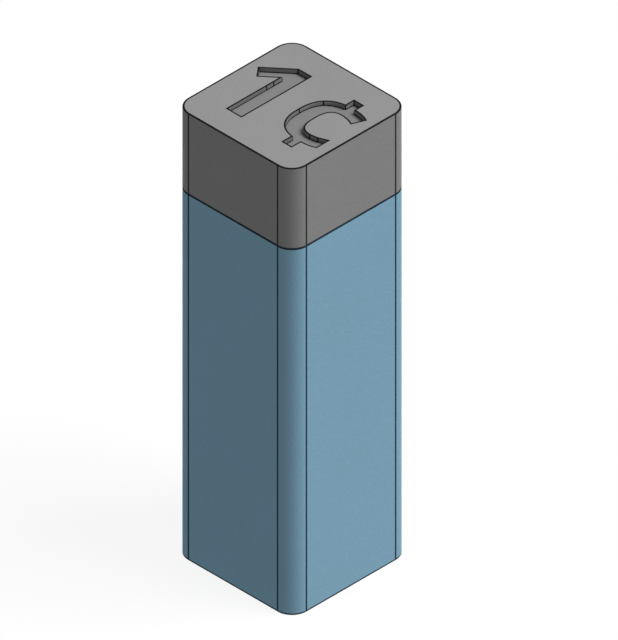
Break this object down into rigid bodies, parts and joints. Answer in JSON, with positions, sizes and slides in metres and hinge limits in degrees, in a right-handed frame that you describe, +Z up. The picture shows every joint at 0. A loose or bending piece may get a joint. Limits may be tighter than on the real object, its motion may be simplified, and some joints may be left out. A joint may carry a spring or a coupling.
{
  "type": "coin tube",
  "caption": "Square upright tube with a round bore that a roll of small coins stacks in, closed by a square push-on cap that lines up with its sides.",
  "frame": {"origin": "centre of the tube's foot, where it stands", "axes": "+Z up along the bore, towards the cap; +X and +Y square to the flat sides, with the cap's mark read along +X and its top towards +Y"},
  "size_m": [0.0254, 0.0254, 0.0831],
  "materials": {
    "tube_plastic": "satin",
    "cap_plastic": "satin"
  },
  "bodies": {
    "tube": {"tube_body": "tube_plastic"},
    "lid": {"cap": "cap_plastic"}
  },
  "joints": [
    {"name": "cap_lift", "type": "slide", "parent": "tube", "child": "lid", "axis": [0, 0, 1], "range_m": [0, 0.035]}
  ]
}
